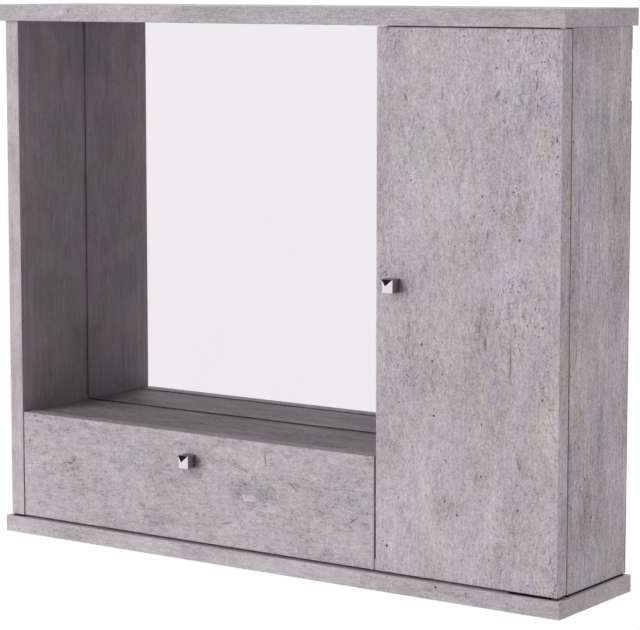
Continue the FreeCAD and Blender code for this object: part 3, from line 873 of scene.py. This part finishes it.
# Loose shells of a node, in a fixed order
def shellsOf(name):
    shell = bmesh.new()
    shell.from_mesh(nodes[name].data)
    bmesh.ops.remove_doubles(shell, verts=shell.verts, dist=weld)
    groups = []
    waiting = set(shell.verts)
    for start in shell.verts:
        if start not in waiting:
            continue
        waiting.remove(start)
        group = [start]
        for vert in group:
            for edge in vert.link_edges:
                other = edge.other_vert(vert)
                if other in waiting:
                    waiting.remove(other)
                    group.append(other)
        groups.append([vert.co.copy() for vert in group])
    shell.free()
    return groups


def spanOf(points):
    low = Vector([min(point[axis] for point in points) for axis in range(3)])
    high = Vector([max(point[axis] for point in points) for axis in range(3)])
    return low, high


# Where each fastener of a node sits: the middle of its wider end, the way that end faces, and its size
def headsOf(name):
    heads = []
    for points in shellsOf(name):
        low, high = spanOf(points)
        span = high - low
        axis = max(range(3), key=lambda i: span[i])
        middle = (low + high) / 2
        reach = {}
        for side, end in ((-1, low[axis]), (1, high[axis])):
            ring = [point for point in points if abs(point[axis] - end) < ringDepth]
            reach[side] = max((point - middle).length for point in ring)
        side = max(reach, key=reach.get)
        way = Vector((0, 0, 0))
        way[axis] = side
        middle[axis] = high[axis] if side > 0 else low[axis]
        heads.append((middle, way, span))
    return sorted(heads, key=lambda head: tuple(round(value, 5) for value in head[0]))


def standing(place, way, turn=0.0):
    lean = up.rotation_difference(way).to_matrix().to_4x4()
    return Matrix.Translation(place) @ lean @ Matrix.Rotation(math.radians(turn), 4, "Z")


# Knobs: a square block with a flat four-sided point and finely broken edges
knobShape = {"point": 3.0 * mm, "arris": 0.22 * mm, "arrisSteps": 3, "smooth": 25, "pointFace": 0.6}


def makeKnob(name, node, body):
    low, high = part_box(node)
    rim = Vector((low.x, low.y + knobShape["point"], low.z))
    piece = addCube(name, rim, high)
    edit(piece)
    pick(piece, "FACE", looking(front))
    bpy.ops.mesh.poke(offset=knobShape["point"])
    bevelEdges(piece, knobShape["arris"], knobShape["arrisSteps"])
    done(knobShape["smooth"])
    install(piece, chromeFinish, "chrome", body, node)
    piece.data.materials.append(knobSideShade)
    # the sides take the darker metal as painted shade
    for face in piece.data.polygons:
        face.material_index = 0 if face.normal.dot(front) > knobShape["pointFace"] else 1


makeKnob("door_knob_block", "door_knob", "door")
makeKnob("flap_knob_block", "flap_knob", "flap")
print("knobs made")

# Mirror pane with a fine ground arris: the front mirrors, the cut edges show green glass, the back is painted
paneShape = {"arris": 0.35 * mm, "steps": 2, "smooth": 2}
paneLow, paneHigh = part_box("mirror_glass")
pane = brokenBlock("mirror_pane", paneLow, paneHigh, **paneShape)
install(pane, silverFinish, "mirror_glass", "carcass", "mirror_glass")
pane.data.materials.append(plain["mirror_glass_edge"])
pane.data.materials.append(plain["mirror_back_paint"])
for face in pane.data.polygons:
    turned = face.normal.dot(front)
    face.material_index = 0 if turned > flatOn else 2 if turned < -flatOn else 1
print("mirror pane made")

# Screws: a rimmed head with a cross recess over a plain shank with a point
screwShape = {
    "sides": 32,
    "rimSteps": 4,
    "tip": 2.0 * mm,
    "tipShare": 0.25,
    "arm": 0.56,           # reach of the recess, as a share of the head
    "slot": 0.75 * mm,
    "floorLong": 0.5,      # how far the recess narrows to its floor
    "floorWide": 0.8,
    "smooth": 30,
}


def makeScrew(name, headR, head, shankR, length, rim, depth):
    s = screwShape
    piece = addDisc(name, headR, -head, 0, s["sides"])
    edit(piece)
    bevelEdges(piece, rim, s["rimSteps"], above(-slack))
    insetFaces(piece, headR - shankR, looking(-up))
    extrude(0, 0, head + s["tip"] - length)
    extrude(0, 0, -s["tip"])
    bpy.ops.transform.resize(value=(s["tipShare"], s["tipShare"], 1))
    bpy.ops.object.mode_set(mode="OBJECT")
    arm = headR * s["arm"]
    wide = s["slot"] / 2
    for turn in (0, 90):
        cutter = addCube("recess", Vector((-arm, -wide, -depth)), Vector((arm, wide, mm)))
        edit(cutter)
        pick(cutter, "FACE", looking(-up))
        bpy.ops.transform.resize(value=(s["floorLong"], s["floorWide"], 1))
        bpy.ops.object.mode_set(mode="OBJECT")
        cutter.data.transform(Matrix.Rotation(math.radians(turn), 4, "Z"))
        carve(piece, cutter)
    edit(piece)
    done(s["smooth"])
    return piece


smallScrew = {"headR": 3.0 * mm, "head": 1.4 * mm, "shankR": 1.6 * mm, "rim": 0.45 * mm, "depth": 0.95 * mm}
panScrew = {"headR": 3.5 * mm, "head": 2.4 * mm, "shankR": 2.0 * mm, "rim": 1.5 * mm, "depth": 1.5 * mm}
screwNodes = {
    "door_hinge_pin_screws": ("carcass", smallScrew),
    "door_hinge_socket_screws": ("door", smallScrew),
    "flap_hinge_pin_screws": ("carcass", smallScrew),
    "flap_hinge_socket_screws": ("flap", smallScrew),
    "flap_pivot_bracket_screws": ("carcass", smallScrew),
    "wall_hanger_screws": ("carcass", smallScrew),
    "catch_screws": ("carcass", smallScrew),
    "door_strike_screw": ("door", smallScrew),
    "flap_strike_screw": ("flap", smallScrew),
    "door_knob_screw": ("door", panScrew),
    "flap_knob_screw": ("flap", panScrew),
}
recessTurn = 37      # no two screws of a set stop at the same turn
for node, (body, shape) in screwNodes.items():
    heads = headsOf(node)
    model = makeScrew("screw_model", length=max(heads[0][2]), **shape)
    copies = [copyTo(model, standing(place, way, recessTurn * index))
              for index, (place, way, span) in enumerate(heads)]
    bpy.data.objects.remove(model)
    install(joined(node + "_cross", copies), zincFinish, "zinc_plated_steel", body, node)
print("screws made:", len(screwNodes), "sets")

# Nails of the back panel: a low domed head on a thin shank
nailShape = {"headR": 2.0 * mm, "head": 0.7 * mm, "shankR": 0.7 * mm, "rim": 0.45 * mm, "rimSteps": 3,
             "pointShare": 0.3, "sides": 20, "smooth": 30}
nailHeads = headsOf("back_panel_nails")
model = addDisc("nail_model", nailShape["headR"], -nailShape["head"], 0, nailShape["sides"])
edit(model)
bevelEdges(model, nailShape["rim"], nailShape["rimSteps"], above(-slack))
insetFaces(model, nailShape["headR"] - nailShape["shankR"], looking(-up))
extrude(0, 0, nailShape["head"] - max(nailHeads[0][2]))
bpy.ops.transform.resize(value=(nailShape["pointShare"], nailShape["pointShare"], 1))
done(nailShape["smooth"])
nails = [copyTo(model, standing(place, way)) for place, way, span in nailHeads]
bpy.data.objects.remove(model)
install(joined("back_panel_nail_set", nails), zincFinish, "zinc_plated_steel", "carcass", "back_panel_nails")

# Cover caps: a thin disc with a soft rim and a slightly dished middle
capShape = {"radius": 6.5 * mm, "thick": 1.2 * mm, "rim": 0.35 * mm, "rimSteps": 3, "border": 1.3 * mm,
            "dish": 0.18 * mm, "sides": 48, "smooth": 30}
flatTop = looking(up, flatOn)
model = addDisc("cap_model", capShape["radius"], -capShape["thick"], 0, capShape["sides"])
edit(model)
bevelEdges(model, capShape["rim"], capShape["rimSteps"], above(-slack))
insetFaces(model, capShape["border"], flatTop)
bpy.ops.mesh.inset(thickness=capShape["dish"])
bpy.ops.transform.translate(value=(0, 0, -capShape["dish"]))
done(capShape["smooth"])
caps = []
for points in shellsOf("screw_caps"):
    spot = sum(points, Vector()) / len(points)
    side = 1 if spot.z > cabinetMiddle.z else -1
    spot.z = side * max(side * point.z for point in points)
    caps.append(copyTo(model, standing(spot, up * side)))
bpy.data.objects.remove(model)
install(joined("screw_cap_set", caps), plain["grey_moulding"], "grey_plastic", "carcass", "screw_caps")

# Bumper pads: low clear domes on the edges that the fronts close on
padShape = {"radius": 4.0 * mm, "thick": 1.2 * mm, "dome": 1.05 * mm, "domeSteps": 6, "crown": 0.9 * mm,
            "sides": 40, "smooth": 60}
model = addDisc("pad_model", padShape["radius"], 0, padShape["thick"], padShape["sides"])
edit(model)
bevelEdges(model, padShape["dome"], padShape["domeSteps"], above(slack))
insetFaces(model, padShape["crown"], flatTop)
done(padShape["smooth"])
for node in ("door_bumpers", "flap_bumpers"):
    pads = []
    for points in shellsOf(node):
        spot = sum(points, Vector()) / len(points)
        spot.y = max(point.y for point in points)
        pads.append(copyTo(model, standing(spot, front)))
    install(joined(node + "_dome", pads), plain["clear_pad"], "clear_rubber", "carcass", node)
bpy.data.objects.remove(model)
print("nails, caps and pads made")

# Shelf pins: a round peg in the upright, and a spoon that thins towards its rounded tip
pinShape = {
    "spoon": 8.0 * mm,
    "high": 5.0 * mm,
    "tip": 1.3 * mm,
    "corner": 2.6 * mm,
    "cornerSteps": 5,
    "arris": 0.25 * mm,
    "arrisSteps": 2,
    "sharp": 0.5,          # edges with a larger turn, in radians, are broken
    "smooth": 40,
    "peg": 8.0 * mm,
    "pegR": 2.4 * mm,
    "pegRim": 0.5 * mm,
    "pegSides": 24,
    "pegSmooth": 30,
}
half = pinShape["spoon"] / 2


def underTip(edge):
    return all(vert.co.x > half and vert.co.z < -half for vert in edge.verts)


def tipCorner(edge):
    start, end = [vert.co for vert in edge.verts]
    return min(start.x, end.x) > half and abs(start.z - end.z) > slack


def spoonArris(edge):
    return edge.calc_face_angle(0) > pinShape["sharp"] and max(vert.co.x for vert in edge.verts) > slack


model = addCube("pin_model", Vector((0, -half, -pinShape["high"])), Vector((pinShape["spoon"], half, 0)))
edit(model)
pick(model, "EDGE", underTip)
bpy.ops.transform.translate(value=(0, 0, pinShape["high"] - pinShape["tip"]))
bevelEdges(model, pinShape["corner"], pinShape["cornerSteps"], tipCorner)
bevelEdges(model, pinShape["arris"], pinShape["arrisSteps"], spoonArris)
done(pinShape["smooth"])
peg = addDisc("peg_model", pinShape["pegR"], 0, pinShape["peg"], pinShape["pegSides"])
edit(peg)
bevelEdges(peg, pinShape["pegRim"], pinShape["arrisSteps"], above(half))
done(pinShape["pegSmooth"])
peg.data.transform(standing(Vector((0, 0, -pinShape["high"] / 2)), Vector((-1, 0, 0))))
model = joined("pin_model", [model, peg])
pins = []
lockerMiddle = sum(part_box("lower_shelf"), Vector()).x / 2
for points in shellsOf("shelf_pins"):
    low, high = spanOf(points)
    turn = 0 if low.x < lockerMiddle else math.pi      # the spoon points into the locker
    spot = Vector(((low.x + high.x) / 2, (low.y + high.y) / 2, high.z))
    pins.append(copyTo(model, Matrix.Translation(spot) @ Matrix.Rotation(turn, 4, "Z")))
bpy.data.objects.remove(model)
install(joined("shelf_pin_set", pins), zincFinish, "zinc_plated_steel", "carcass", "shelf_pins")
print("shelf pins made")

# Magnetic catches: a moulded housing, two steel pole plates and the magnet between them
catchShape = {
    "size": Vector((46.0, 14.0, 13.0)) * mm,
    "arris": 0.9 * mm,
    "arrisSteps": 3,
    "border": 2.2 * mm,
    "mouth": 3.0 * mm,
    "smooth": 35,
    "seatR": 3.15 * mm,
    "seat": 1.4 * mm,
    "seatSides": 32,
    "plate": 1.1 * mm,
    "plateGap": 2.1 * mm,
    "plateLong": 17.0 * mm,
    "magnetBack": 0.7 * mm,
}
plateEdge = {"arris": 0.2 * mm, "steps": 2, "smooth": 30}
magnetEdge = {"arris": 0.3 * mm, "steps": 2, "smooth": 30}


def makeCatch(node, turn):
    c = catchShape
    low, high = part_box(node)
    place = Matrix.Translation((low + high) / 2) @ turn
    housing = addCube(node + "_housing", -c["size"] / 2, c["size"] / 2)
    edit(housing)
    bevelEdges(housing, c["arris"], c["arrisSteps"], lambda edge: min(vert.co.z for vert in edge.verts) < 0)
    insetFaces(housing, c["border"], looking(front, flatOn))
    extrude(0, c["mouth"], 0)
    bpy.ops.object.mode_set(mode="OBJECT")
    for side in (-1, 1):
        seat = addDisc("seat", c["seatR"], -c["seat"], c["seat"], c["seatSides"])
        seat.data.transform(Matrix.Translation((side * c["size"].x / 3, 0, -c["size"].z / 2)))
        carve(housing, seat)
    edit(housing)
    done(c["smooth"])
    housing.data.transform(place)
    install(housing, plain["white_moulding"], "white_plastic", "carcass", node)
    near = -c["size"].y / 2
    far = near + c["mouth"]
    poles = []
    for side in (-1, 1):
        inner = Vector((-c["plateLong"], near, side * c["plateGap"] - c["plate"] / 2))
        outer = Vector((c["plateLong"], far, side * c["plateGap"] + c["plate"] / 2))
        poles.append(brokenBlock("plate", inner, outer, **plateEdge))
    plates = joined(node + "_poles", poles)
    plates.data.transform(place)
    install(plates, zincFinish, "zinc_plated_steel", "carcass")
    reach = c["plateGap"] - c["plate"] / 2
    magnetLow = Vector((-c["plateLong"], near + c["magnetBack"], -reach))
    magnet = brokenBlock(node + "_magnet", magnetLow, Vector((c["plateLong"], far, reach)), **magnetEdge)
    magnet.data.transform(place)
    install(magnet, plain["dark_moulding"], "grey_plastic", "carcass")


makeCatch("flap_catch", Matrix.Identity(4))
makeCatch("door_catch", Matrix.Rotation(math.radians(-90), 4, "Y"))
print("catches made")

# Camera at the photograph's angle
view = {
    "place": (1.4029, -2.0394, 0.0871),
    "pitch": 6.667,
    "yaw": 35.0,
    "lens": 144.29,
    "sensor": 36,
    "rise": -0.06,
    "far": 200,
}
bpy.ops.object.select_all(action="DESELECT")
facing = (math.radians(90 - view["pitch"]), 0, math.radians(view["yaw"]))
bpy.ops.object.camera_add(location=view["place"], rotation=facing)
camera = bpy.context.active_object
camera.data.lens = view["lens"]
camera.data.sensor_width = view["sensor"]
camera.data.shift_y = view["rise"]
camera.data.clip_end = view["far"]
bpy.context.scene.camera = camera

# Studio: soft lamps, each at the level that it gives on the face it lights
lamps = {
    "front_lamp": {"azimuth": -32, "height": 5, "away": 8.0, "size": (5.0, 3.6), "level": 0.535},
    "high_lamp": {"azimuth": -26, "height": 32, "away": 7.0, "size": (3.0, 2.4), "level": 0.335},
    "right_lamp": {"azimuth": 96, "height": 8, "away": 2.6, "size": (0.9, 1.4), "level": 0.322},
    "top_lamp": {"azimuth": 170, "height": 70, "away": 2.6, "size": (1.4, 1.0), "level": 0.45},
    "back_lamp": {"azimuth": 205, "height": 20, "away": 3.0, "size": (2.0, 1.4), "level": 0.55},
}


# The way from the cabinet to a thing of the studio
def wayTo(thing):
    turn, rise = math.radians(thing["azimuth"]), math.radians(thing["height"])
    return Vector((math.sin(turn) * math.cos(rise), -math.cos(turn) * math.cos(rise), math.sin(rise)))


for name, lamp in lamps.items():
    out = wayTo(lamp)
    bpy.ops.object.light_add(type="AREA", location=cabinetMiddle + out * lamp["away"])
    light = bpy.context.active_object
    light.name = name
    light.rotation_euler = out.to_track_quat("Z", "Y").to_euler()
    light.data.shape = "RECTANGLE"
    light.data.size, light.data.size_y = lamp["size"]
    light.data.energy = lamp["level"] * math.pi ** 2 * lamp["away"] ** 2
    light.visible_glossy = False


# Rays that see the studio plainly, and those that mirror and metal send out
def studioRays(wire):
    seen = wire.node("ShaderNodeLightPath", out="Is Camera Ray")
    through = wire.node("ShaderNodeLightPath", out="Is Transmission Ray")
    shone = wire.node("ShaderNodeLightPath", out="Is Glossy Ray")
    bounced = wire.node("ShaderNodeLightPath", out="Diffuse Depth") > 0.5
    return seen.larger(through), shone - shone * bounced


def grey(level):
    return rgb(level, level, level)


# White surroundings with a grey ceiling and a black card, which only mirror and metal show
room = {"fill": 0.20, "ceiling": 0.42, "ceilingStart": 0.30, "ceilingFull": 0.52}
card = {"azimuth": -44, "height": 32, "inner": 12, "outer": 18, "level": 0.02}
white = grey(1)
world = bpy.data.worlds.new("studio")
world.use_nodes = True
bpy.context.scene.world = world
sky = Wire(world.node_tree)
towards = sky.node("ShaderNodeTexCoord", out="Generated")
near = sky.node("ShaderNodeVectorMath", {"operation": "DOT_PRODUCT"},
                {0: towards, 1: wayTo(card)}, out="Value")
cardOuter, cardInner = [math.cos(math.radians(card[rim])) for rim in ("outer", "inner")]
ceiling = towards.axis("Z").ease(room["ceilingStart"], room["ceilingFull"]).tint(white, grey(room["ceiling"]))
mirrored = near.ease(cardOuter, cardInner).tint(ceiling, grey(card["level"]))
plainly, shone = studioRays(sky)
colour = shone.tint(grey(room["fill"]), mirrored)
plainly.tint(colour, white).feed(world.node_tree.nodes["Background"], "Color")

# Pale floor, far enough below the cabinet for views from underneath
floorPlan = {"level": -3.3, "size": 60.0, "glow": 0.993, "paint": grey(0.8), "rough": 0.8}
bpy.ops.mesh.primitive_plane_add(size=floorPlan["size"], location=(0, 0, floorPlan["level"]))
floor = bpy.context.active_object
floor.name = "studio_floor"
fixed = {"Base Color": floorPlan["paint"], "Roughness": floorPlan["rough"]}
floorFinish, wire, shader = newFinish("floor_paint", fixed)
glow = wire.node("ShaderNodeEmission", {}, {"Color": white, "Strength": 1.0})
plainly, shone = studioRays(wire)
share = plainly.larger(shone) * floorPlan["glow"]
paint = Wire(floorFinish.node_tree, shader.outputs[0])
mixed = wire.node("ShaderNodeMixShader", {}, {0: share, 1: paint, 2: glow})
mixed.feed(floorFinish.node_tree.nodes["Material Output"], "Surface")
floor.data.materials.append(floorFinish)
print("studio set")

bpy.context.scene.view_settings.view_transform = "Standard"
